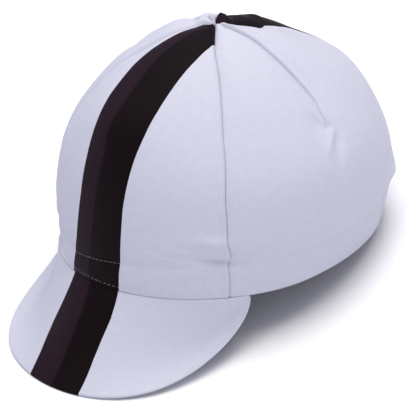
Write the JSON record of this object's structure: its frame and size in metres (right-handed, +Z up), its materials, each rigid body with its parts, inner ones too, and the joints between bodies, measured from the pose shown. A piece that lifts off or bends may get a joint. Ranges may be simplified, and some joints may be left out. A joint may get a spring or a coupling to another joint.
{
  "type": "cycling cap",
  "caption": "Soft cotton cycling cap with a domed panelled crown, an inner band and a short folded-down peak, resting on a flat surface.",
  "frame": {"origin": "on the surface that the cap rests on, under the middle of its overall box", "axes": "+Z up off the surface, -Y forwards over the peak, +X towards the wearer's left; the rim rises forwards by about 11.5 degrees, because the cap rests on the back of its rim and on the front edge of its peak"},
  "size_m": [0.1764, 0.252, 0.1408],
  "materials": {
    "crown_cotton": "matt plain-weave cotton, lavender white, with a black and charcoal stripe over the middle",
    "band_cotton": "matt white cotton",
    "peak_cotton": "matt plain-weave cotton, lavender white, with a black and charcoal stripe over the middle"
  },
  "bodies": {
    "root": {"front_panel": "crown_cotton", "left_side_panel": "crown_cotton", "back_panel": "crown_cotton", "right_side_panel": "crown_cotton", "sweatband": "band_cotton", "peak": "peak_cotton"}
  },
  "joints": []
}
